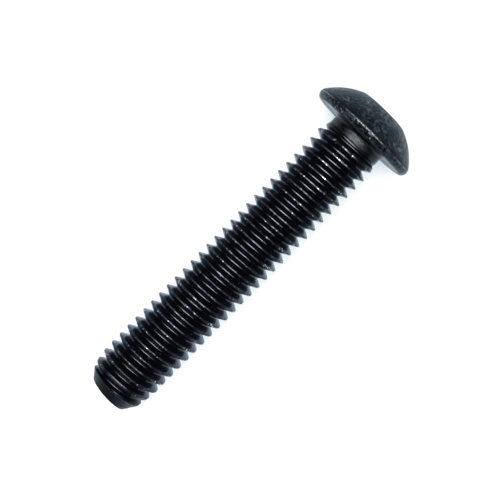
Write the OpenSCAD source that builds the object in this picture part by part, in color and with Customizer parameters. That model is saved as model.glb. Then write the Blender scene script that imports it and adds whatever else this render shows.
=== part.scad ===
// Button head machine screw with a hexagon socket, in one piece with its rolled right-hand thread.
// It lies as it comes to rest, on the rim of its head and on one crest of its thread, with the
// floor at z = 0 and its head towards +X. Its own axis starts at the end face, on that axis.

/* [Thread] */
// Outside diameter over the crests of the thread
thread_d = 5.94; // [5.5:0.02:6.5]
// Distance along the axis from one crest to the next
pitch = 1.0; // [0.8:0.05:1.2]
// Angle between the two walls of a groove
thread_angle = 60; // [55:1:62]
// Width of the flat on a crest
crest_flat = 0.125; // [0.08:0.005:0.16]
// Width of the flat at the bottom of a groove
root_flat = 0.09; // [0.06:0.005:0.16]
// Distance of a groove's middle from the end face, on the side that faces the floor
groove_start = 0.86; // [0:0.01:1]
// Flat facets that make one turn of the thread
turn_facets = 32; // [16:4:40]

/* [Shank] */
// Length of the screw under its head
screw_l = 31.6; // [20:0.1:38]
// Length of the plain neck between the thread and the head
neck_l = 0.85; // [0.5:0.05:4]
// How far the neck lies below the crests of the thread
neck_below = 0.29; // [0.2:0.01:0.4]
// Length over which the groove runs out of the metal before the neck
groove_runout = 1.0; // [0.5:0.05:2]
// Length over which the crests come down to the neck
crest_runout = 0.9; // [0.6:0.05:3]
// Radius of the fillet between the neck and the head
neck_fillet = 0.3; // [0.1:0.05:0.4]

/* [Point] */
// How far the edge of the end face lies inside the bottom of the groove
point_step = 0.35; // [0.1:0.01:0.8]
// Angle of the point's chamfer to the axis
point_angle = 35; // [30:1:50]
// Length behind the chamfer over which the crests fill out to their full height
lead_l = 1.7; // [1:0.1:4]

/* [Head] */
// Diameter of the head
head_d = 10.3; // [9.4:0.1:11]
// Height of the head above its bearing face
head_h = 3.0; // [2.8:0.05:3.6]
// Diameter of the flat ring on top of the dome
crown_d = 4.7; // [3.6:0.1:5.2]
// Radius of the rim's rounding next to the bearing face
rim_r = 0.5; // [0.2:0.05:0.7]
// Height of the straight band on the rim between its rounding and the dome
rim_band = 0.25; // [0.05:0.05:0.5]

/* [Socket] */
// Width of the hexagon socket across its flats
socket_af = 4.0; // [3:0.5:5]
// Depth of the socket's flats from the top of the head
socket_depth = 2.05; // [1.5:0.05:2.1]
// Depth of the shallow cone in the socket's floor
socket_cone = 0.4; // [0.2:0.05:0.6]
// Width of the chamfer that breaks the socket's mouth
socket_chamfer = 0.1; // [0.05:0.05:0.3]

/* [Hidden] */
$fn = 128;
black_oxide = [0.15, 0.17, 0.19];
// how near a groove may come to the end of its stretch before it is left out of a column
least = 0.01;
// how far a cutting solid reaches past the surface that it opens
past = 1;
// how far the thread's last facets stay inside the neck, which leaves the neck a clean round edge
seam = 0.02;

// radii and lengths that follow from the sizes above
wall_lean = tan(thread_angle / 2);
thread_r = thread_d / 2;
groove_depth = (pitch - crest_flat - root_flat) / (2 * wall_lean);
root_r = thread_r - groove_depth;
// the neck has the radius of the blank that the thread is rolled on
neck_r = thread_r - neck_below;
head_r = head_d / 2;
crown_r = crown_d / 2;
rim_h = rim_r + rim_band;
thread_end = screw_l - neck_l;

// the chamfer of the point, bare up to the height at which the bottom of a groove comes out of it
point_r = root_r - point_step;
point_slope = tan(point_angle);
bare_l = point_step / point_slope;
chamfer_l = (neck_r - point_r) / point_slope;

// Crests reach up to the lowest of these lines: the chamfer, the lead in which they fill out, their
// full height, and the run-out before the neck. Each is a radius at the end face and a slope.
lead_slope = (thread_r - neck_r) / lead_l;
runout_slope = (thread_r - neck_r) / crest_runout;
crest_lines = [
    [point_r, point_slope],
    [neck_r - lead_slope * chamfer_l, lead_slope],
    [thread_r, 0],
    [neck_r + runout_slope * thread_end, -runout_slope]
];

// the dome is a sphere through the top edge of the rim and the edge of the crown
dome_z = (crown_r * crown_r + head_h * head_h - head_r * head_r - rim_h * rim_h) / (2 * (head_h - rim_h));
dome_r = norm([head_r, rim_h - dome_z]);

// Radius at the bottom of a groove whose middle is z above the end face: it comes up to the neck.
function groove_r(z) =
    root_r + (neck_r - root_r) * max(0, z - thread_end + groove_runout) / groove_runout;

// Height of a groove's wall that starts at z and leans up or down the axis, up to the crest lines.
function wall_h(z, r, way) =
    min([for (line = crest_lines) (line[0] + line[1] * z - r) / (1 - way * line[1] * wall_lean)]);

// The four corners of a groove's section, as distance along the axis and radius.
function groove_section(z) =
    let (
        r = groove_r(z),
        low = z - root_flat / 2,
        high = z + root_flat / 2,
        low_wall = wall_h(low, r, -1),
        high_wall = wall_h(high, r, 1)
    )
    [
        [low - low_wall * wall_lean, r + low_wall],
        [low, r],
        [high, r],
        [high + high_wall * wall_lean, r + high_wall]
    ];

// The thread is made of columns of points, half a facet off the side that faces the floor. A column
// holds the sections of the grooves that it crosses, and a groove climbs one pitch in a turn.
first_turn = -2;
last_turn = ceil(thread_end / pitch) + 1;
function column_angle(j) = (j + 0.5) * 360 / turn_facets;
function groove_z(turn, j) = groove_start + pitch * (turn + (j + 0.5) / turn_facets);
// Corners that lie between the bare chamfer and the end of the thread, with their count from the
// first turn.
function column(j) =
    [
        for (turn = [first_turn:last_turn])
            let (
                z = groove_z(turn, j),
                low_out = z - root_flat / 2 > bare_l + least,
                high_out = z + root_flat / 2 > bare_l + least,
                corners = groove_section(z)
            )
            if (corners[3][0] < thread_end - least)
                for (k = [0:3])
                    if (k < 2 ? low_out : high_out)
                        [4 * turn + k, corners[k][0], corners[k][1]]
    ];
columns = [for (j = [0:turn_facets - 1]) column(j)];

// Each column's points are the end face's edge, the top of the bare chamfer, its corners, and the neck.
function column_points(j) =
    let (
        a = column_angle(j),
        foot = [[0, 0, point_r], [0, bare_l, root_r]],
        top = [[0, thread_end, neck_r - seam]]
    )
    [for (p = concat(foot, columns[j], top)) [p[2] * cos(a), p[2] * sin(a), p[1]]];
column_start = [
    for (j = 0, at = 0; j < turn_facets; at = at + len(columns[j]) + 3, j = j + 1) at
];

// Column j with j up to turn_facets: its first point, its first and last corner, and its neck point.
// The column that closes the turn is the first one again, seen one turn lower down.
function column_index(j) =
    let (
        c = j % turn_facets,
        down = j == turn_facets ? 4 : 0,
        corners = columns[c]
    )
    [
        column_start[c],
        corners[0][0] - down,
        corners[len(corners) - 1][0] - down,
        column_start[c] + len(corners) + 2
    ];
function corner_point(c, k) = c[0] + 2 + k - c[1];

// Faces between column a and the next one, b. Grooves enter b from below and leave a at the top.
function strip_faces(a, b) = concat(
    [[a[0], a[0] + 1, b[0] + 1], [a[0], b[0] + 1, b[0]]],
    [[a[0] + 1, corner_point(a, a[1]), corner_point(b, a[1])]],
    [for (k = [b[1]:1:a[1] - 1]) [a[0] + 1, corner_point(b, k + 1), corner_point(b, k)]],
    [[a[0] + 1, corner_point(b, b[1]), b[0] + 1]],
    [
        for (k = [a[1]:b[2] - 1], half = [0, 1])
            half == 0
                ? [corner_point(a, k), corner_point(a, k + 1), corner_point(b, k + 1)]
                : [corner_point(a, k), corner_point(b, k + 1), corner_point(b, k)]
    ],
    [[corner_point(a, b[2]), b[3], corner_point(b, b[2])]],
    [for (k = [b[2]:1:a[2] - 1]) [corner_point(a, k), corner_point(a, k + 1), b[3]]],
    [[corner_point(a, a[2]), a[3], b[3]]]
);

// Where the screw rests: the least lean at which a line from the rim's rounding meets a crest.
// The two columns beside the floor side touch it, each half a facet round from straight down.
function lean_on(z, r) =
    let (dz = screw_l + rim_r - z, dr = head_r - rim_r - r)
    atan2(dr, dz) + asin(rim_r / norm([dz, dr]));
half_facet = 180 / turn_facets;
lean = min([
    for (j = [0, turn_facets - 1], p = columns[j]) lean_on(p[1], p[2] * cos(half_facet))
]);
rest_h = (head_r - rim_r) * cos(lean) + rim_r - (screw_l + rim_r) * sin(lean);
low_x = -point_r * cos(half_facet) * sin(lean);
high_x = (screw_l + head_h) * cos(lean) + crown_r * sin(lean);

module thread() {
    columns_i = [for (j = [0:turn_facets]) column_index(j)];
    end_face = [for (j = [0:turn_facets - 1]) columns_i[j][0]];
    neck_face = [for (j = [turn_facets - 1:-1:0]) columns_i[j][3]];
    sides = [
        for (j = [0:turn_facets - 1], f = strip_faces(columns_i[j], columns_i[j + 1])) f
    ];
    polyhedron(
        points = [for (j = [0:turn_facets - 1], p = column_points(j)) p],
        faces = concat([end_face, neck_face], sides),
        convexity = 10
    );
}

// Half of the head's section: a disc with a rounded lower corner, cut by the dome and the crown.
module head_section() {
    intersection() {
        union() {
            square([head_r - rim_r, head_h]);
            translate([0, rim_r]) square([head_r, head_h - rim_r]);
            translate([head_r - rim_r, rim_r]) circle(rim_r);
        }
        translate([0, dome_z]) circle(dome_r);
    }
}

module fillet_section() {
    translate([neck_r - neck_fillet, -neck_fillet])
        difference() {
            square([2 * neck_fillet, 2 * neck_fillet]);
            translate([2 * neck_fillet, 0]) circle(neck_fillet);
        }
}

module neck_and_head() {
    translate([0, 0, thread_end]) cylinder(h = neck_l + rim_r, r = neck_r);
    translate([0, 0, screw_l])
        rotate_extrude()
            intersection() {
                translate([0, -neck_fillet]) square([head_r + past, head_h + neck_fillet]);
                union() {
                    head_section();
                    fillet_section();
                }
            }
}

module socket() {
    floor_z = head_h - socket_depth;
    mouth_h = socket_af / 4;
    mouth_r = socket_af / 2 + socket_chamfer;
    translate([0, 0, floor_z])
        rotate([0, 0, 30])
            linear_extrude(socket_depth + past) circle(r = socket_af / sqrt(3), $fn = 6);
    translate([0, 0, floor_z - socket_cone])
        cylinder(h = socket_cone, r1 = 0, r2 = socket_af / 2);
    translate([0, 0, head_h - mouth_h])
        cylinder(h = mouth_h, r1 = mouth_r - mouth_h, r2 = mouth_r);
}

module screw() {
    color(black_oxide)
        translate([-(low_x + high_x) / 2, 0, rest_h])
            rotate([0, 90 - lean, 0]) {
                thread();
                difference() {
                    neck_and_head();
                    translate([0, 0, screw_l]) socket();
                }
            }
}

screw();
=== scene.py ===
"""Looks of a black button head machine screw: one forged and rolled piece, on a white table."""

import math

import bpy
import numpy as np
from bpy.props import FloatProperty, FloatVectorProperty, IntProperty, PointerProperty
from bpy.types import Operator, Panel, PropertyGroup
from mathutils import Matrix, Vector


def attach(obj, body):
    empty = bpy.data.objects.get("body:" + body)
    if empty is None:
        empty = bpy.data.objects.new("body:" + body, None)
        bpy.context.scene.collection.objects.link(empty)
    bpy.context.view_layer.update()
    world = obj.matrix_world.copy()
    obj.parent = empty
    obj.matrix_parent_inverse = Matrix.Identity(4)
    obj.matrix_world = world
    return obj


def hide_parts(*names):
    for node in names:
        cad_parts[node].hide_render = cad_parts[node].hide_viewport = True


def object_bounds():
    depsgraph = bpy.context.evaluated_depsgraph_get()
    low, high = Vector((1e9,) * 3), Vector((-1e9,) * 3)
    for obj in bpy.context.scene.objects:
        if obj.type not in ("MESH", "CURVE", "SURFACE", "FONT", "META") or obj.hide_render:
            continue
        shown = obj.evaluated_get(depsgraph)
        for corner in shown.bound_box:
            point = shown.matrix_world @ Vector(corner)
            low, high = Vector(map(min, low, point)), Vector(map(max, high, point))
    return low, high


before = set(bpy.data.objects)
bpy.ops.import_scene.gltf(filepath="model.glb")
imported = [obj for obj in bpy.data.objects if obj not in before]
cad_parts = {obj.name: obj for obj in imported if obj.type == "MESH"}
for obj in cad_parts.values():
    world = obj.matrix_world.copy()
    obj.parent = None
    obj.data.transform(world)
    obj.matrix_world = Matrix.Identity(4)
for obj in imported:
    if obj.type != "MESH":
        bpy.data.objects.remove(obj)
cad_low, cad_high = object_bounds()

bl_info = {
    "name": "Button Head Machine Screw",
    "version": (1, 0, 0),
    "blender": (4, 5, 0),
    "location": "3D View > Sidebar > Screw",
    "description": "Builds a black machine screw with a rolled thread, and a white table with soft light",
    "category": "Add Mesh",
}

MM = 0.001
# pixels that the picture is wide, as the focal length counts them
PICTURE_PX = 500.0
# degrees between two faces from which the line between them is shaded as sharp
SHARP_ANGLE = 38.0
# metallic value of the oxide
METALLIC = 0.95
# degrees from the first column of points to a corner of the hexagon socket
HEX_TURN = 30.0
# millimetres: how far below a crest a nick still shows, the depth at which its steel is bare, and the
# height over which the marks of crests and grooves fade
NICK_REACH, NICK_FULL, MARK_BAND = 0.16, 0.03, 0.05
# millimetres: rounding of the corners where a crest meets another line, at the lead, before the neck
# and elsewhere
LEAD_SOFT, RUNOUT_SOFT, SOFT = 0.06, 0.10, 0.02
# millimetres: how far past the thread's end the ring that closes it lies, and how near a row may come
# to a closing ring before it is left out
SEAM, LEAST = 0.02, 0.01
# millimetres from the end face over which its slope fades out
SKEW_END = 1.2


def length(name, description, millimetres):
    """A size in the sidebar, kept in metres and given here in millimetres."""
    return FloatProperty(
        name=name, description=description, default=millimetres * MM, min=0.0, unit="LENGTH", precision=5
    )


def share(name, description, default):
    """A value between 0 and 1 in the sidebar."""
    return FloatProperty(
        name=name, description=description, default=default, min=0.0, max=1.0, subtype="FACTOR"
    )


def colour(name, description, default):
    """A linear colour in the sidebar."""
    return FloatVectorProperty(
        name=name, description=description, default=default, min=0.0, subtype="COLOR", size=3
    )


def angle(name, description, degrees):
    """An angle in the sidebar, kept in radians and given here in degrees."""
    return FloatProperty(
        name=name, description=description, default=math.radians(degrees), subtype="ANGLE"
    )


def position(name, description, millimetres):
    """A place along an axis in the sidebar, which may be below zero."""
    return FloatProperty(name=name, description=description, default=millimetres * MM, unit="LENGTH")


class ScrewSizes(PropertyGroup):
    """Sizes of the screw, as in the solid model that this one dresses."""

    thread_d: length("Thread diameter", "Outside diameter over the crests", 5.94)
    pitch: length("Pitch", "Distance along the axis from one crest to the next", 1.0)
    thread_angle: angle("Thread angle", "Angle between the two walls of a groove", 60)
    crest_flat: length("Crest flat", "Width of a crest before its edges are rounded", 0.125)
    root_flat: length("Root flat", "Width of a groove's bottom before its corners are rounded", 0.09)
    crest_edge: length("Crest edge", "Radius on the edges of a crest", 0.06)
    root_corner: length("Root corner", "Radius in the corners of a groove", 0.03)
    groove_start: length("Groove start", "Distance of a groove from the end face on the floor side", 0.86)
    screw_l: length("Length", "Length of the screw under its head", 31.6)
    neck_l: length("Neck length", "Length of the plain neck under the head", 0.85)
    neck_below: length("Neck below crests", "How far the neck lies below the crests of the thread", 0.29)
    groove_runout: length("Groove run-out", "Length over which the groove comes up to the neck", 1.0)
    crest_runout: length("Crest run-out", "Length over which the crests come down to the neck", 0.9)
    neck_fillet: length("Neck fillet", "Radius between the neck and the head", 0.3)
    point_step: length("Point step", "How far the edge of the end face lies inside the grooves", 0.35)
    point_angle: angle("Point angle", "Angle of the point's chamfer to the axis", 35)
    point_edge: length("Point edge", "Radius on the edge of the end face", 0.06)
    point_skew: share("Point skew", "How far the end face is out of square, as a slope", 0.07)
    lead_l: length("Lead", "Length over which the first crests fill out", 1.7)
    head_d: length("Head diameter", "Diameter of the head", 10.3)
    head_h: length("Head height", "Height of the head above its bearing face", 3.0)
    crown_d: length("Crown diameter", "Diameter of the flat on top of the dome", 4.7)
    rim_r: length("Rim radius", "Radius of the rim next to the bearing face", 0.5)
    rim_band: length("Rim band", "Height of the nearly straight band on the rim", 0.25)
    rim_edge: length("Rim edge", "Radius between the band and the dome", 0.5)
    socket_af: length("Socket width", "Width of the hexagon socket across its flats", 4.0)
    socket_depth: length("Socket depth", "Depth of the socket's flats", 2.05)
    socket_cone: length("Socket cone", "Depth of the cone in the socket's floor", 0.4)
    socket_chamfer: length("Socket chamfer", "Width of the chamfer on the socket's mouth", 0.1)
    crown_edge: length("Crown edge", "Radius between the dome and the flat crown", 0.4)
    lean: angle("Lean", "Angle at which the screw rises towards its head as it lies", 4.3323)
    crease: length("Crest crease", "Depth of the deepest crease that rolling leaves along a crest", 0.014)
    nick_depth: length("Nick depth", "Depth of the deepest nicks in the crests", 0.08)
    nicks: IntProperty(name="Nicks", description="How many nicks the crests have", default=900, min=0)
    columns: IntProperty(
        name="Columns", description="Points in one turn, a multiple of 12", default=120, min=24
    )


class ScrewFinish(PropertyGroup):
    """Colours and wear of the black oxide."""

    thread_oxide: colour("Thread oxide", "Colour of the oxide on the rolled thread", (0.026, 0.030, 0.045))
    groove_oxide: colour("Groove oxide", "Colour of the oxide in a burnished groove", (0.035, 0.036, 0.040))
    crest_oxide: colour("Crest oxide", "Colour of the oxide on the crests", (0.011, 0.012, 0.014))
    crest_pale: colour("Rubbed crest", "Colour of a rubbed crest or edge", (0.102, 0.108, 0.117))
    head_oxide: colour("Head oxide", "Colour of the oxide on the forged head", (0.0118, 0.0185, 0.0245))
    neck_oxide: colour("Neck oxide", "Colour of the oxide on the drawn neck", (0.022, 0.025, 0.027))
    thick_oxide: colour("Thick oxide", "Colour of the oxide in pits, rim and point", (0.0048, 0.006, 0.010))
    oxide_pale: colour("Pale oxide", "Colour of the oxide where it is rubbed", (0.090, 0.108, 0.118))
    edge_tint: colour("Edge tint", "Tint of what the oxide mirrors at a glancing angle", (0.70, 0.81, 0.91))
    bare: colour("Bare steel", "Colour of the steel in fresh nicks", (0.62, 0.64, 0.66))
    groove_rough: share("Groove roughness", "Roughness of the bottom of the rolled groove", 0.08)
    flank_rough: share("Flank roughness", "Roughness of the walls of the thread", 0.20)
    crest_rough: share("Crest roughness", "Roughness of the crests", 0.37)
    neck_rough: share("Neck roughness", "Roughness of the neck and the bearing face", 0.27)
    head_rough: share("Head roughness", "Roughness of the forged head", 0.42)
    pebbled_rough: share("Pebbled roughness", "Roughness of the rim and of the patches on the dome", 0.32)
    worn_rough: share("Edge roughness", "Roughness of the head's rubbed edges", 0.22)
    point_rough: share("Point roughness", "Roughness of the point", 0.38)
    crest_wear: share("Crest wear", "How far the crests are rubbed", 0.47)
    head_wear: share("Head wear", "How far the head is rubbed", 0.9)


class StudioSettings(PropertyGroup):
    """The table, its light and the camera above it."""

    camera_x: position("Camera X", "Camera's place along the screw", 0.586)
    camera_y: position("Camera Y", "Camera's place across the screw", -0.116)
    camera_z: length("Camera height", "Height of the camera above the table", 104.2)
    camera_roll: angle("Camera roll", "Turn of the picture about the line of sight", -45.63)
    focal_px: FloatProperty(
        name="Focal length", description="Focal length in pixels of a 500 pixel picture", default=1142.0
    )
    table: colour("Table", "Colour of the table under plain light", (0.80, 0.82, 0.84))
    glow: colour("Glow", "What the table shows without the strip light", (0.34, 0.52, 0.60))
    shade: colour("Shade", "What the strip light adds, and the screw's shade takes away", (0.45, 0.34, 0.285))
    strip_power: FloatProperty(
        name="Strip light", description="Power of the strip light over the table", default=3.6, unit="POWER"
    )
    room: colour("Room", "Colour of the dim room round the table", (0.030, 0.044, 0.088))


class ScrewForm:
    """The screw's sizes in millimetres, its rest pose, and the radius of its shank at each place."""

    def __init__(self, sizes):
        for name in ScrewSizes.__annotations__:
            value = getattr(sizes, name)
            is_length = sizes.bl_rna.properties[name].unit == "LENGTH"
            setattr(self, name, value / MM if is_length else value)
        self.wall_lean = math.tan(self.thread_angle / 2)
        self.thread_r = self.thread_d / 2
        self.groove_depth = (self.pitch - self.crest_flat - self.root_flat) / (2 * self.wall_lean)
        self.root_r = self.thread_r - self.groove_depth
        self.neck_r = self.thread_r - self.neck_below
        self.head_r = self.head_d / 2
        self.crown_r = self.crown_d / 2
        self.rim_h = self.rim_r + self.rim_band
        self.thread_end = self.screw_l - self.neck_l
        self.point_r = self.root_r - self.point_step
        self.point_slope = math.tan(self.point_angle)
        self.chamfer_l = (self.neck_r - self.point_r) / self.point_slope
        self.lead_slope = (self.thread_r - self.neck_r) / self.lead_l
        self.runout_slope = (self.thread_r - self.neck_r) / self.crest_runout
        self.dome_z = (self.crown_r**2 + self.head_h**2 - self.head_r**2 - self.rim_h**2) / (
            2 * (self.head_h - self.rim_h)
        )
        self.dome_r = math.hypot(self.head_r, self.rim_h - self.dome_z)
        self.set_rest()

    def set_rest(self):
        """Where the screw lies on its rim and a crest, with the lean that the solid model has."""
        self.rest_h = (
            (self.head_r - self.rim_r) * math.cos(self.lean)
            + self.rim_r
            - (self.screw_l + self.rim_r) * math.sin(self.lean)
        )
        self.start_x = cad_low.x / MM + self.point_r * math.sin(self.lean)

    def pose(self):
        """From the screw's own axes, in millimetres, to the frame in metres."""
        turn = Matrix.Rotation(math.pi / 2 - self.lean, 4, "Y")
        return Matrix.Translation(Vector((self.start_x, 0, self.rest_h)) * MM) @ turn @ Matrix.Scale(MM, 4)

    def groove_heights(self):
        """Steps from a groove's middle to the middle of the next crest, with the height above the groove."""
        up = math.pi / 2 - self.thread_angle / 2
        short = math.tan(up / 2)
        root_half = self.root_flat / 2 - self.root_corner * short
        crest_half = self.crest_flat / 2 - self.crest_edge * short
        half = self.pitch / 2
        steps = [(0.0, 0.0)]
        for turn in (0.0, 0.5, 1.0):
            a = up * turn
            steps.append((root_half + self.root_corner * math.sin(a), self.root_corner * (1 - math.cos(a))))
        ends = []
        for turn in (1.0, 0.5, 0.0):
            a = up * turn
            ends.append(
                (
                    half - crest_half - self.crest_edge * math.sin(a),
                    self.groove_depth - self.crest_edge * (1 - math.cos(a)),
                )
            )
        first, last = steps[-1], ends[0]
        for part in (0.3, 0.55, 0.8):
            steps.append(tuple(a + (b - a) * part for a, b in zip(first, last)))
        return steps + ends + [(half, self.groove_depth)]

    def shank_radius(self, along, middle, height):
        """Radius at a place along the axis, in the groove with that middle, at that height in it."""
        rise = np.clip((middle - self.thread_end + self.groove_runout) / self.groove_runout, 0, 1)
        groove = self.root_r + (self.neck_r - self.root_r) * rise + height
        lead = np.minimum(
            self.point_r + self.point_slope * along, self.neck_r + self.lead_slope * (along - self.chamfer_l)
        )
        runout = np.maximum(self.neck_r, self.neck_r + self.runout_slope * (self.thread_end - along))
        at_lead = along < self.lead_l + 2 * self.pitch
        at_neck = along > self.thread_end - 2 * self.pitch
        radius = soft_min(groove, lead, np.where(at_lead, LEAD_SOFT, SOFT))
        return soft_min(radius, runout, np.where(at_neck, RUNOUT_SOFT, SOFT))


def soft_min(a, b, soft):
    """The lesser of two values, with the corner between them rounded."""
    part = np.clip(0.5 + 0.5 * (b - a) / soft, 0, 1)
    return b * (1 - part) + a * part - soft * part * (1 - part)


def crest_creases(form, angles, turns):
    """Depth of the crease along the crests, by turn and column, in waves that go on from turn to turn."""
    rng = np.random.default_rng(5)
    way = turns[:, None] * 2 * math.pi + angles[None, :]
    wave = np.zeros_like(way)
    for _ in range(14):
        wave += np.sin(way * rng.uniform(0.4, 9.0) + rng.uniform(0, 2 * math.pi))
    # about a fifth of the crests' length is left without a crease
    return form.crease * np.clip(0.35 + wave / 6.0, 0, 1)


def crest_nicks(form, angles, turns):
    """Depth of the nicks in the crests, by turn and column."""
    rng = np.random.default_rng(11)
    depth = np.zeros((len(turns), len(angles)))
    whole = 2 * math.pi
    for _ in range(form.nicks):
        row = rng.integers(0, len(turns))
        at = rng.uniform(0, whole)
        # most nicks are short, and about one in seven is three times as long
        wide = rng.uniform(0.02, 0.10) * (3 if rng.uniform() < 0.15 else 1)
        deep = form.nick_depth * rng.uniform(0.2, 1.0) ** 2
        apart = np.abs((angles - at + math.pi) % whole - math.pi)
        depth[row] = np.maximum(depth[row], deep * np.clip(1 - apart / wide, 0, 1))
    return depth


# kinds of place that the mesh carries a value for, and the two materials
MARKS = ("crest", "groove", "nick", "rim", "edge", "plain")
THREAD, HEAD = 0, 1


class Skin:
    """Points and faces of the screw's surface, with a value for each kind of place at each point."""

    def __init__(self):
        self.points = []
        self.marks = []
        self.faces = []
        self.parts = []
        self.count = 0

    def add_points(self, points, **values):
        """Adds points with their marks, and gives back their numbers."""
        first = self.count
        points = np.asarray(points, float).reshape(-1, 3)
        marks = np.zeros((len(points), len(MARKS)))
        for name, value in values.items():
            marks[:, MARKS.index(name)] = value
        self.points.append(points)
        self.marks.append(marks)
        self.count += len(points)
        return np.arange(first, self.count)

    def add_face(self, corners, part):
        """Adds a face of the thread or the head, its corners counter-clockwise as seen from outside."""
        self.faces.append([int(c) for c in corners])
        self.parts.append(part)

    def join_rings(self, low, high, part):
        """Faces between two rings of points, the first one nearer the start of the outline."""
        for a, b, c, d in zip(low, np.roll(low, -1), np.roll(high, -1), high):
            self.add_face((a, b, c, d), part)


def column_angles(form):
    """The angle of each column of points about the axis, from straight down."""
    return np.arange(form.columns) * 2 * math.pi / form.columns


def ring(form, radius, along):
    """A ring of points; the radius may differ from column to column."""
    angles = column_angles(form)
    radius = np.broadcast_to(radius, angles.shape)
    along = np.broadcast_to(along, angles.shape)
    return np.stack([radius * np.cos(angles), radius * np.sin(angles), along], 1)


def skewed(form, points):
    """Points of the end face and its edge, a little out of square as a sheared blank is."""
    points[:, 2] += form.point_skew * points[:, 1]
    return points


def thread_rows(form):
    """Rows of points in one turn: how far each lies from the groove's middle, and its height in it."""
    steps = form.groove_heights()
    side = [(-s, h) for s, h in steps[:0:-1]] + steps[:-1]
    return np.array(side).T


def thread_surface(form, offsets, heights):
    """The place along the axis, the radius and the bareness by nicks of each point, by column."""
    angles = column_angles(form)
    # from below the point to beyond the neck: rows outside the thread are left out later on
    turns = np.arange(-2, int(form.thread_end / form.pitch) + 3)
    middle = form.groove_start + form.pitch * (turns[:, None] + angles[None, :] / (2 * math.pi))
    along = middle[:, None, :] + offsets[None, :, None]
    radius = form.shank_radius(along, middle[:, None, :], heights[None, :, None])
    # a row of offsets below zero belongs to the crest of the turn before
    nicks = crest_nicks(form, angles, turns)
    nicks = np.where(offsets[None, :, None] < 0, np.roll(nicks, 1, 0)[:, None, :], nicks[:, None, :])
    # the first crests are too low to be nicked or creased
    full = np.clip((along - 2 * form.pitch) / form.pitch, 0, 1)
    nearness = np.clip(1 - (form.groove_depth - heights) / NICK_REACH, 0, 1)
    nicks = nicks * nearness[None, :, None] * full
    radius = radius - nicks
    # the row in the middle of a crest is the first one, and also carries the crease
    radius[:, 0, :] -= np.roll(crest_creases(form, angles, turns), 1, 0) * full[:, 0, :]

    def by_column(values):
        return values.transpose(2, 0, 1).reshape(form.columns, -1)

    return by_column(along), by_column(radius), by_column(np.clip(nicks / NICK_FULL, 0, 1))


def build_point(form, skin, foot_z):
    """The end face, its rounded edge and the foot of the chamfer. Returns its last ring."""
    centre = skin.add_points([[0, 0, 0]])[0]
    # an arc over half a right angle stands for the edge between the end face and the chamfer
    face_r = form.point_r - 0.41 * form.point_edge
    last = skin.add_points(skewed(form, ring(form, face_r * 0.5, 0)))
    for a, b in zip(last, np.roll(last, -1)):
        skin.add_face((centre, b, a), THREAD)
    for turn in (0.0, 0.33, 0.67, 1.0):
        a = math.radians(45) * turn
        r = face_r + form.point_edge * math.sin(a)
        z = form.point_edge * (1 - math.cos(a))
        new = skin.add_points(skewed(form, ring(form, r, z)))
        skin.join_rings(last, new, THREAD)
        last = new
    foot = skin.add_points(skewed(form, ring(form, form.point_r + form.point_slope * foot_z, foot_z)))
    skin.join_rings(last, foot, THREAD)
    return foot


def join_columns(skin, spans, foot, top, rows):
    """Faces between each column of the thread and the next one, down to the foot and up to the top."""
    columns = len(spans)
    for j in range(columns):
        # first row, last row, and the number of the point in row 0
        a0, a1, a_at = spans[j]
        b0, b1, b_at = spans[(j + 1) % columns]
        if j == columns - 1:
            # the helix has climbed a turn, so the first column follows one turn lower down
            b0, b1, b_at = b0 - rows, b1 - rows, b_at + rows
        foot_a, foot_b = foot[j], foot[(j + 1) % columns]
        top_a, top_b = top[j], top[(j + 1) % columns]
        skin.add_face((foot_a, foot_b, b_at + b0), THREAD)
        for k in range(b0, a0):
            skin.add_face((foot_a, b_at + k, b_at + k + 1), THREAD)
        skin.add_face((foot_a, b_at + a0, a_at + a0), THREAD)
        for k in range(a0, b1):
            skin.add_face((a_at + k, b_at + k, b_at + k + 1, a_at + k + 1), THREAD)
        for k in range(b1, a1):
            skin.add_face((a_at + k, top_b, a_at + k + 1), THREAD)
        skin.add_face((a_at + b1, b_at + b1, top_b), THREAD)
        skin.add_face((a_at + a1, top_b, top_a), THREAD)


def build_shank(form, skin):
    """The point and the rolled thread, whose rows of points climb with the helix. Returns its last ring."""
    offsets, heights = thread_rows(form)
    along, radius, nick = thread_surface(form, offsets, heights)
    turns = along.shape[1] // len(offsets)
    crest = np.tile(np.clip(1 - (form.groove_depth - heights) / MARK_BAND, 0, 1), turns)
    groove = np.tile(np.clip(1 - heights / MARK_BAND, 0, 1), turns)
    # heights of the rings that close the thread, the lower one just past the edge of the end face
    lowest, highest = form.point_edge * 1.2, form.thread_end + SEAM
    spans = []
    for j, a in enumerate(column_angles(form)):
        keep = np.nonzero((along[j] > lowest + LEAST) & (along[j] < highest - LEAST))[0]
        r, z = radius[j][keep], along[j][keep]
        z = z + form.point_skew * r * math.sin(a) * np.clip(1 - z / SKEW_END, 0, 1)
        points = np.stack([r * math.cos(a), r * math.sin(a), z], 1)
        ids = skin.add_points(points, crest=crest[keep], groove=groove[keep], nick=nick[j][keep])
        spans.append((keep[0], keep[-1], ids[0] - keep[0]))
    foot = build_point(form, skin, lowest)
    top = skin.add_points(ring(form, form.neck_r, highest), plain=1.0)
    join_columns(skin, spans, foot, top, len(offsets))
    return top


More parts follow.
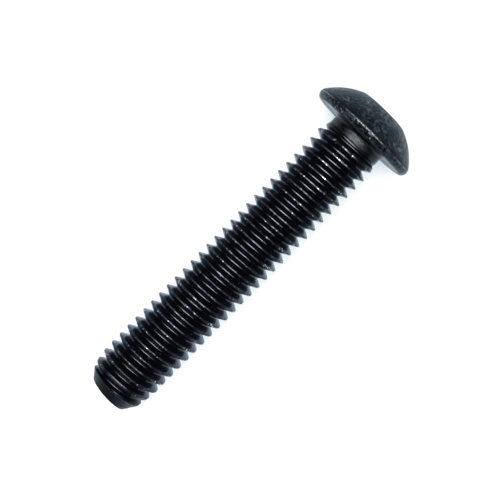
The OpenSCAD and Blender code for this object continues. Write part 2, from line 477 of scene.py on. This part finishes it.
def head_outline(form):
    """Radius and height above the bearing face, from the neck's fillet out to the rim and up to the crown."""
    line = []
    for turn in np.linspace(0, 1, 6):
        a = math.radians(90) * turn
        r = form.neck_r + form.neck_fillet * (1 - math.cos(a))
        line.append((r, -form.neck_fillet * (1 - math.sin(a)), {"plain": 1.0}))
    # rows close to both ends of the flat bearing face keep it flat in the shading
    flat_end, inset = form.head_r - form.rim_r, 0.06
    for r in (line[-1][0] + inset, flat_end * 0.8, flat_end - inset):
        line.append((r, 0.0, {"plain": 1.0}))
    # the rim is upset, so its side bulges out to one widest line, from which an arc leads into the dome
    inner_r = form.head_r - form.rim_edge
    edge_z = form.dome_z + math.sqrt((form.dome_r - form.rim_edge) ** 2 - inner_r**2)
    for turn in np.linspace(0, 1, 14):
        a = math.radians(90) * turn
        # the rim's skin fills in over the first third, and the last row is the rubbed edge
        part = {
            "rim": min(1.0, 3 * turn, max(0.0, 12 - 12 * turn)),
            "plain": max(0.0, 1 - 4 * turn),
            "edge": max(0.0, 20 * turn - 19),
        }
        line.append((flat_end + form.rim_r * math.sin(a), edge_z * (1 - math.cos(a)), part))
    lean = math.atan2(inner_r, edge_z - form.dome_z)
    for turn in (0.12, 0.3, 0.5, 0.75, 1.0):
        a = math.pi / 2 + (lean - math.pi / 2) * turn
        part = {"edge": max(0.0, 1 - 4 * turn)}
        line.append((inner_r + form.rim_edge * math.sin(a), edge_z + form.rim_edge * math.cos(a), part))
    # an arc leads from the dome into the flat crown: it touches both
    ball_r = form.dome_r - form.crown_edge
    ball_z = form.head_h - form.crown_edge
    ball_lean = math.acos((ball_z - form.dome_z) / ball_r)
    for turn in np.linspace(0, 1, 22)[1:]:
        a = lean + (ball_lean - lean) * turn
        line.append((form.dome_r * math.sin(a), form.dome_z + form.dome_r * math.cos(a), {}))
    for turn in (0.33, 0.67, 1.0):
        a = ball_lean * (1 - turn)
        r = ball_r * math.sin(ball_lean) + form.crown_edge * math.sin(a)
        line.append((r, ball_z + form.crown_edge * math.cos(a), {"edge": 0.9}))
    return line


def build_head(form, skin, neck):
    """The neck, the domed head and its hexagon socket, as rings that close on the socket's floor."""
    last = neck
    for r, z, marks in head_outline(form):
        new = skin.add_points(ring(form, r, form.screw_l + z), **marks)
        skin.join_rings(last, new, HEAD)
        last = new
    off_flat = (np.degrees(column_angles(form)) - HEX_TURN) % 60 - 30
    hexagon = form.socket_af / 2 / np.cos(np.radians(off_flat))
    mouth = form.socket_af / 2 + form.socket_chamfer
    edge = np.maximum(hexagon, mouth)

    def top_height(r):
        dome = form.dome_z + np.sqrt(form.dome_r**2 - r**2)
        return np.minimum(dome, form.head_h)

    # the cone's ring lies just inside the flats, so that no two points fall together
    for r, z in (
        (edge, top_height(edge)),
        (hexagon, np.minimum(top_height(hexagon), form.head_h - (mouth - hexagon))),
        (hexagon, form.head_h - form.socket_depth * 0.5),
        (hexagon, form.head_h - form.socket_depth),
        (form.socket_af / 2 * 0.999, form.head_h - form.socket_depth),
        (form.socket_af / 4, form.head_h - form.socket_depth - form.socket_cone / 2),
    ):
        new = skin.add_points(ring(form, r, form.screw_l + z))
        skin.join_rings(last, new, HEAD)
        last = new
    middle = skin.add_points([[0, 0, form.screw_l + form.head_h - form.socket_depth - form.socket_cone]])[0]
    for a, b in zip(last, np.roll(last, -1)):
        skin.add_face((a, b, middle), HEAD)


def new_group(name, ins, outs):
    """An empty shader node group with named inputs and outputs."""
    group = bpy.data.node_groups.new(name, "ShaderNodeTree")
    for socket, kind, value in ins:
        made = group.interface.new_socket(name=socket, in_out="INPUT", socket_type=kind)
        if value is not None:
            made.default_value = value
    for socket, kind in outs:
        group.interface.new_socket(name=socket, in_out="OUTPUT", socket_type=kind)
    return group, group.nodes.new("NodeGroupInput"), group.nodes.new("NodeGroupOutput")


def feed(tree, socket, value):
    """Links the socket to another one, or sets it to a value; a colour comes without its alpha."""
    if isinstance(value, bpy.types.NodeSocket):
        tree.links.new(value, socket)
    elif socket.type == "RGBA":
        socket.default_value = (*value, 1.0)
    else:
        socket.default_value = value


def put(tree, kind, settings=None, **values):
    """A node with its settings, and its inputs by name, or by number after an i."""
    node = tree.nodes.new(kind)
    for key, value in (settings or {}).items():
        setattr(node, key, value)
    for key, value in values.items():
        numbered = key[0] == "i" and key[1:].isdigit()
        feed(tree, node.inputs[int(key[1:]) if numbered else key.replace("_", " ")], value)
    return node


def maths(tree, operation, a, b=0.0, clamp=False):
    """What an operation makes of two values."""
    return put(tree, "ShaderNodeMath", {"operation": operation, "use_clamp": clamp}, i0=a, i1=b).outputs[0]


def between(tree, value, low, high):
    """The value's place between two limits, from 0 to 1 and smoothed."""
    smooth = {"interpolation_type": "SMOOTHSTEP"}
    return put(tree, "ShaderNodeMapRange", smooth, Value=value, From_Min=low, From_Max=high).outputs[0]


def screw_place_group(form):
    """Place on the screw in its own axes, in millimetres, and its distance from the end face."""
    group, _, out = new_group(
        "Screw Place", [], [("Place", "NodeSocketVector"), ("Along", "NodeSocketFloat")]
    )
    at = group.nodes.new("ShaderNodeTexCoord").outputs["Object"]
    own = put(
        group,
        "ShaderNodeMapping",
        {"vector_type": "TEXTURE"},
        Vector=at,
        Location=(form.start_x * MM, 0, form.rest_h * MM),
        Rotation=(0, math.pi / 2 - form.lean, 0),
        Scale=(MM, MM, MM),
    ).outputs[0]
    along = put(group, "ShaderNodeSeparateXYZ", i0=own).outputs[2]
    group.links.new(own, out.inputs["Place"])
    group.links.new(along, out.inputs["Along"])
    return group


def clouds_group():
    """Soft blotches of the oxide."""
    group, ins, out = new_group(
        "Oxide Clouds",
        [("Place", "NodeSocketVector", None), ("Size", "NodeSocketFloat", 1.0)],
        [("Mask", "NodeSocketFloat")],
    )
    scale = maths(group, "DIVIDE", 1.0, ins.outputs["Size"])
    noise = put(
        group, "ShaderNodeTexNoise", Vector=ins.outputs["Place"], Scale=scale, Detail=5.0, Roughness=0.62
    ).outputs[0]
    group.links.new(between(group, noise, 0.42, 0.62), out.inputs["Mask"])
    return group


def streaks_group():
    """Fine lines that run round the axis, as rolling and turning leave them."""
    group, ins, out = new_group(
        "Round Streaks",
        [("Place", "NodeSocketVector", None), ("Closeness", "NodeSocketFloat", 14.0)],
        [("Mask", "NodeSocketFloat")],
    )
    stretch = put(group, "ShaderNodeCombineXYZ", X=1.2, Y=1.2, Z=ins.outputs["Closeness"]).outputs[0]
    drawn = put(group, "ShaderNodeVectorMath", {"operation": "MULTIPLY"}, i0=ins.outputs["Place"], i1=stretch)
    at = drawn.outputs[0]
    lines = put(group, "ShaderNodeTexNoise", Vector=at, Scale=1.0, Detail=3.0, Roughness=0.6).outputs[0]
    group.links.new(between(group, lines, 0.30, 0.72), out.inputs["Mask"])
    return group


def specks_group():
    """Small round specks, pits or sparks, that come in loose clusters."""
    group, ins, out = new_group(
        "Specks",
        [
            ("Place", "NodeSocketVector", None),
            ("Per Millimetre", "NodeSocketFloat", 6.0),
            ("Share", "NodeSocketFloat", 0.3),
        ],
        [("Mask", "NodeSocketFloat")],
    )
    cells = put(
        group,
        "ShaderNodeTexVoronoi",
        {"feature": "F1"},
        Vector=ins.outputs["Place"],
        Scale=ins.outputs["Per Millimetre"],
        Randomness=1.0,
    )
    near = between(group, cells.outputs["Distance"], 0.42, 0.12)
    pick = put(group, "ShaderNodeSeparateColor", i0=cells.outputs["Color"]).outputs[0]
    chosen = maths(group, "LESS_THAN", pick, ins.outputs["Share"])
    cluster = put(group, "ShaderNodeTexNoise", Vector=ins.outputs["Place"], Scale=0.9, Detail=2.0).outputs[0]
    dense = between(group, cluster, 0.42, 0.62)
    mask = maths(group, "MULTIPLY", maths(group, "MULTIPLY", near, chosen), dense)
    group.links.new(mask, out.inputs["Mask"])
    return group


def scratches_group():
    """Hair-thin curved scratches in loose bunches."""
    group, ins, out = new_group(
        "Hair Scratches",
        [("Place", "NodeSocketVector", None), ("Size", "NodeSocketFloat", 1.0)],
        [("Mask", "NodeSocketFloat")],
    )
    scale = maths(group, "DIVIDE", 1.0, ins.outputs["Size"])
    lines = []
    for turn, stretch in (((0.3, 0.9, 0.2), (0.5, 2.2, 0.8)), ((1.2, 0.1, 0.9), (1.9, 0.4, 1.0))):
        at = put(
            group, "ShaderNodeMapping", Vector=ins.outputs["Place"], Rotation=turn, Scale=stretch
        ).outputs[0]
        noise = put(group, "ShaderNodeTexNoise", Vector=at, Scale=scale, Detail=1.0, Distortion=0.4)
        away = maths(group, "ABSOLUTE", maths(group, "SUBTRACT", noise.outputs[0], 0.5))
        lines.append(between(group, away, 0.014, 0.002))
    found = maths(group, "MAXIMUM", *lines)
    patch = put(group, "ShaderNodeTexNoise", Vector=ins.outputs["Place"], Scale=0.8, Detail=3.0).outputs[0]
    group.links.new(maths(group, "MULTIPLY", found, between(group, patch, 0.45, 0.62)), out.inputs["Mask"])
    return group


class Surface:
    """A material in the making: its node tree, the shared node groups, and marks of the mesh."""

    def __init__(self, name, groups):
        self.material = bpy.data.materials.new(name)
        self.material.use_nodes = True
        self.tree = self.material.node_tree
        self.tree.nodes.clear()
        self.groups = groups

    def use(self, group, **values):
        """The outputs of a shared node group, placed with these values."""
        return put(self.tree, "ShaderNodeGroup", {"node_tree": self.groups[group]}, **values).outputs

    def mark(self, attribute):
        """The value that the mesh carries for a kind of place."""
        return put(self.tree, "ShaderNodeAttribute", {"attribute_name": attribute}).outputs["Fac"]

    def times(self, a, b):
        return maths(self.tree, "MULTIPLY", a, b)

    def plus(self, a, b, clamp=False):
        return maths(self.tree, "ADD", a, b, clamp)

    def minus(self, a, b):
        return maths(self.tree, "SUBTRACT", a, b)

    def between(self, value, low, high):
        return between(self.tree, value, low, high)

    def mix(self, part, a, b):
        """Colour a where the part is 0 and b where it is 1."""
        return put(self.tree, "ShaderNodeMix", {"data_type": "RGBA"}, i0=part, i6=a, i7=b).outputs[2]

    def blend(self, part, a, b):
        """Value a where the part is 0 and b where it is 1."""
        return put(self.tree, "ShaderNodeMix", i0=part, i2=a, i3=b).outputs[0]

    def finish(self, tone, metal, rough, edge_tint, height, strength, distance):
        """The material. A height of 1 in its relief stands for the distance, in millimetres."""
        bump = put(
            self.tree, "ShaderNodeBump", Strength=strength, Distance=distance * MM, Height=height
        ).outputs[0]
        shader = put(
            self.tree,
            "ShaderNodeBsdfPrincipled",
            Base_Color=tone,
            Roughness=rough,
            Metallic=metal,
            Specular_Tint=edge_tint,
            Normal=bump,
        )
        end = self.tree.nodes.new("ShaderNodeOutputMaterial")
        self.tree.links.new(shader.outputs[0], end.inputs[0])
        return self.material


def thread_material(groups, finish, form):
    """Rolled thread: burnished grooves and walls, rubbed crests with bare nicks, and a dull point."""
    made = Surface("black_oxide_thread", groups)
    found = made.use("place")
    place, along = found["Place"], found["Along"]
    clouds = made.use("clouds", Place=place, Size=0.55)["Mask"]
    streaks = made.use("streaks", Place=place, Closeness=16.0)["Mask"]
    specks = made.use("specks", Place=place, Per_Millimetre=4.5, Share=0.12)["Mask"]
    sparks = made.use("specks", Place=place, Per_Millimetre=4.6, Share=0.85)["Mask"]
    crest, groove, nick = made.mark("crest"), made.mark("groove"), made.mark("nick")
    off_groove = made.minus(1.0, groove)

    # the chamfer of the point, and the last turns, which look like the neck
    point = made.between(along, form.chamfer_l + 0.15, form.chamfer_l - 0.35)
    late = made.between(along, form.thread_end - 1.0, form.thread_end - 0.4)
    # the crests that aren't full yet are as dull as the others
    early = made.times(made.between(along, form.lead_l + form.pitch, form.chamfer_l), off_groove)
    dull = made.plus(crest, early, True)

    # crests are rubbed pale in blotches, and dust lies on all but the grooves, thinly on the point
    rubbed = made.times(made.times(crest, clouds), finish.crest_wear)
    dust = made.times(made.times(specks, off_groove), made.minus(0.7, made.times(point, 0.6)))
    tone = made.mix(groove, finish.thread_oxide, finish.groove_oxide)
    tone = made.mix(dull, tone, finish.crest_oxide)
    tone = made.mix(made.plus(rubbed, dust, True), tone, finish.crest_pale)
    tone = made.mix(point, tone, finish.thick_oxide)
    tone = made.mix(late, tone, finish.neck_oxide)

    # steel shows in fresh nicks, and a little in sparks on the crests
    fresh = made.times(made.between(nick, 0.1, 0.5), made.between(sparks, 0.1, 0.5))
    flash = made.times(made.times(made.between(crest, 0.3, 0.9), sparks), 0.45)
    tone = made.mix(made.plus(fresh, flash, True), tone, finish.bare)

    rough = made.blend(groove, finish.flank_rough, finish.groove_rough)
    rough = made.blend(dull, rough, finish.crest_rough)
    end_rough = made.blend(point, finish.neck_rough, finish.point_rough)
    rough = made.blend(made.plus(point, late, True), rough, end_rough)

    # turned lines are deep on the point, and rubbed blotches are uneven
    lines = made.times(streaks, made.plus(0.2, made.times(point, 2.5)))
    height = made.times(made.plus(lines, made.times(clouds, crest)), off_groove)
    metal = made.minus(METALLIC, dust)
    return made.finish(tone, metal, rough, finish.edge_tint, height, strength=0.3, distance=0.006)


def head_material(groups, finish, form):
    """Forged head and drawn neck: pebbled, scuffed and pitted oxide, with a rubbed edge on the rim."""
    made = Surface("black_oxide_head", groups)
    found = made.use("place")
    place, along = found["Place"], found["Along"]
    clouds = made.use("clouds", Place=place, Size=1.8)["Mask"]
    grain = made.use("clouds", Place=place, Size=0.34)["Mask"]
    streaks = made.use("streaks", Place=place, Closeness=9.0)["Mask"]
    scratches = made.use("scratches", Place=place, Size=0.7)["Mask"]
    pits = made.use("specks", Place=place, Per_Millimetre=3.6, Share=0.45)["Mask"]
    sparks = made.use("specks", Place=place, Per_Millimetre=3.4, Share=0.12)["Mask"]
    rim, edge, plain = made.mark("rim"), made.mark("edge"), made.mark("plain")
    off_plain = made.minus(1.0, plain)

    # the pebbled skin lies on the rim and in patches on the dome
    crownward = made.between(along, form.screw_l + 0.7, form.screw_l + 1.5)
    patches = made.times(made.plus(made.times(clouds, 1.5), 0.1), crownward)
    pebbled = made.times(made.plus(patches, rim, True), off_plain)

    # its pebbles are scuffed, less so on the rim, and the hollows between them, the rim and the pits
    # keep thick oxide
    crisp = made.between(grain, 0.40, 0.90)
    scuffs = made.times(made.times(crisp, pebbled), finish.head_wear)
    scuffs = made.times(scuffs, made.blend(rim, off_plain, 0.40))
    hollows = made.times(made.times(pebbled, made.minus(1.0, crisp)), 0.9)
    thick = made.plus(hollows, made.times(rim, 0.9))
    thick = made.plus(thick, made.times(made.times(pits, off_plain), 0.8), True)
    lines = made.times(made.times(scratches, 0.8), off_plain)
    tone = made.mix(plain, finish.head_oxide, finish.neck_oxide)
    tone = made.mix(thick, tone, finish.thick_oxide)
    tone = made.mix(made.plus(scuffs, lines, True), tone, finish.oxide_pale)

    # edges are rubbed pale, most of all on the grain, with steel showing through there and in sparks
    worn = made.times(edge, made.blend(grain, 0.2, 1.0))
    tone = made.mix(worn, tone, finish.crest_pale)
    bright = made.plus(made.times(sparks, 0.45), made.times(worn, 0.17), True)
    tone = made.mix(made.times(bright, off_plain), tone, finish.bare)

    rough = made.blend(pebbled, finish.head_rough, finish.pebbled_rough)
    rough = made.blend(edge, rough, finish.worn_rough)
    drawn = made.plus(finish.neck_rough - 0.06, made.times(streaks, 0.20))
    rough = made.blend(plain, rough, drawn)

    height = made.times(grain, made.plus(0.10, made.times(pebbled, 1.6)))
    height = made.plus(height, made.times(scratches, 0.3))
    height = made.minus(height, made.times(pits, 0.8))
    height = made.blend(plain, height, made.times(streaks, 0.3))
    return made.finish(tone, METALLIC, rough, finish.edge_tint, height, strength=1.0, distance=0.06)


def make_object(name, form, skin):
    """A mesh object from the skin, laid in its rest pose, with its marks as point values."""
    mesh = bpy.data.meshes.new(name)
    points = np.concatenate(skin.points)
    pose = np.array(form.pose())
    placed = points @ pose[:3, :3].T + pose[:3, 3]
    mesh.from_pydata(placed.tolist(), [], skin.faces)
    mesh.polygons.foreach_set("material_index", skin.parts)
    marks = np.concatenate(skin.marks)
    for k, mark in enumerate(MARKS):
        layer = mesh.attributes.new(mark, "FLOAT", "POINT")
        layer.data.foreach_set("value", marks[:, k].astype(np.float32))
    mesh.shade_smooth()
    mesh.set_sharp_from_angle(angle=math.radians(SHARP_ANGLE))
    mesh.validate()
    mesh.update()
    piece = bpy.data.objects.new(name, mesh)
    bpy.context.scene.collection.objects.link(piece)
    return piece


class SCREW_OT_make_screw(Operator):
    """Builds the screw as one closed mesh and gives it its black oxide"""

    bl_idname = "screw.make_screw"
    bl_label = "Screw"

    def execute(self, context):
        form = ScrewForm(context.scene.screw_sizes)
        finish = context.scene.screw_finish
        if form.columns % 12:
            raise ValueError("columns has to be a multiple of 12, so that the socket's corners are points")
        skin = Skin()
        neck = build_shank(form, skin)
        build_head(form, skin, neck)
        piece = make_object("machine_screw", form, skin)
        groups = {
            "place": screw_place_group(form),
            "clouds": clouds_group(),
            "streaks": streaks_group(),
            "specks": specks_group(),
            "scratches": scratches_group(),
        }
        piece.data.materials.append(thread_material(groups, finish, form))
        piece.data.materials.append(head_material(groups, finish, form))
        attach(piece, "root")
        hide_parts("screw")
        return {"FINISHED"}


def table_material(studio):
    """A pale matt table that shows white to the eye and in the screw, with the screw's shade on it."""
    material = bpy.data.materials.new("table")
    material.use_nodes = True
    tree = material.node_tree
    tree.nodes.clear()
    matt = put(tree, "ShaderNodeBsdfDiffuse", Color=studio.table)
    glow = put(tree, "ShaderNodeEmission", Color=studio.glow, Strength=1.0)
    lit = put(tree, "ShaderNodeBsdfDiffuse", Color=studio.shade)
    white = put(tree, "ShaderNodeAddShader", i0=glow.outputs[0], i1=lit.outputs[0])
    path = tree.nodes.new("ShaderNodeLightPath").outputs
    seen = maths(tree, "ADD", path["Is Camera Ray"], path["Is Glossy Ray"])
    seen = maths(tree, "ADD", seen, path["Is Transmission Ray"], clamp=True)
    both = put(tree, "ShaderNodeMixShader", Fac=seen, i1=matt.outputs[0], i2=white.outputs[0])
    end = tree.nodes.new("ShaderNodeOutputMaterial")
    tree.links.new(both.outputs[0], end.inputs[0])
    return material


def make_table(studio):
    """A flat round table top under the screw."""
    mesh = bpy.data.meshes.new("table")
    # sides of its outline, and its radius in metres
    count, radius = 96, 1.5
    points = [
        (radius * math.cos(2 * math.pi * k / count), radius * math.sin(2 * math.pi * k / count), 0.0)
        for k in range(count)
    ]
    mesh.from_pydata(points, [], [list(range(count))])
    mesh.materials.append(table_material(studio))
    table = bpy.data.objects.new("table", mesh)
    bpy.context.scene.collection.objects.link(table)


def make_light(name, place, aim, size, size_y, power):
    """A soft rectangular light that looks at a point."""
    lamp = bpy.data.lights.new(name, "AREA")
    lamp.shape = "RECTANGLE"
    lamp.size, lamp.size_y = size, size_y
    lamp.energy = power
    light = bpy.data.objects.new(name, lamp)
    light.location = place
    light.rotation_mode = "QUATERNION"
    light.rotation_quaternion = (Vector(aim) - Vector(place)).to_track_quat("-Z", "Y")
    bpy.context.scene.collection.objects.link(light)


def make_room(studio):
    """The dim room that the screw's dark sides mirror."""
    world = bpy.data.worlds.new("room")
    bpy.context.scene.world = world
    world.use_nodes = True
    back = world.node_tree.nodes["Background"]
    back.inputs["Color"].default_value = (*studio.room, 1.0)
    back.inputs["Strength"].default_value = 1.0


def make_camera(studio):
    """A camera straight above the screw, turned so that the screw lies from lower left to upper right."""
    lens = bpy.data.cameras.new("camera")
    lens.sensor_width = 36.0
    lens.lens = lens.sensor_width * studio.focal_px / PICTURE_PX
    lens.clip_start, lens.clip_end = 0.005, 10.0
    camera = bpy.data.objects.new("camera", lens)
    camera.location = (studio.camera_x, studio.camera_y, studio.camera_z)
    camera.rotation_euler = (0.0, 0.0, studio.camera_roll)
    bpy.context.scene.collection.objects.link(camera)
    bpy.context.scene.camera = camera


class SCREW_OT_make_stage(Operator):
    """Builds the table, the light over it, the room and the camera"""

    bl_idname = "screw.make_stage"
    bl_label = "Table, light and camera"

    def execute(self, context):
        studio = context.scene.screw_studio
        make_table(studio)
        # three strips one inside another, which makes one that fades towards its ends: its place across
        # the screw, its height, its length, all in metres, and its part of the power
        along, wide = -0.01, 0.14
        for name, across, above, long, part in (
            ("strip_light_core", 0.03, 0.346, 0.26, 0.42),
            ("strip_light_middle", 0.03, 0.350, 0.50, 0.30),
            ("strip_light_ends", 0.06, 0.354, 0.72, 0.28),
        ):
            power = studio.strip_power * part
            make_light(name, (along, across, above), (along, across, 0.0), wide, long, power)
        make_room(studio)
        make_camera(studio)
        context.scene.view_settings.view_transform = "Standard"
        return {"FINISHED"}


class SCREW_PT_sidebar(Panel):
    """Lists the screw's operators and their sizes"""

    bl_label = "Machine Screw"
    bl_idname = "SCREW_PT_sidebar"
    bl_space_type = "VIEW_3D"
    bl_region_type = "UI"
    bl_category = "Screw"

    def draw(self, context):
        layout = self.layout
        layout.operator(SCREW_OT_make_screw.bl_idname)
        layout.operator(SCREW_OT_make_stage.bl_idname)
        for group in ("screw_sizes", "screw_finish", "screw_studio"):
            values = getattr(context.scene, group)
            box = layout.box()
            for name in type(values).__annotations__:
                box.prop(values, name)


CLASSES = (
    ScrewSizes,
    ScrewFinish,
    StudioSettings,
    SCREW_OT_make_screw,
    SCREW_OT_make_stage,
    SCREW_PT_sidebar,
)


def register():
    for kind in CLASSES:
        bpy.utils.register_class(kind)
    bpy.types.Scene.screw_sizes = PointerProperty(type=ScrewSizes)
    bpy.types.Scene.screw_finish = PointerProperty(type=ScrewFinish)
    bpy.types.Scene.screw_studio = PointerProperty(type=StudioSettings)


def unregister():
    del bpy.types.Scene.screw_studio
    del bpy.types.Scene.screw_finish
    del bpy.types.Scene.screw_sizes
    for kind in reversed(CLASSES):
        bpy.utils.unregister_class(kind)


def main():
    register()
    bpy.ops.screw.make_screw()
    bpy.ops.screw.make_stage()


if __name__ == "__main__":
    main()
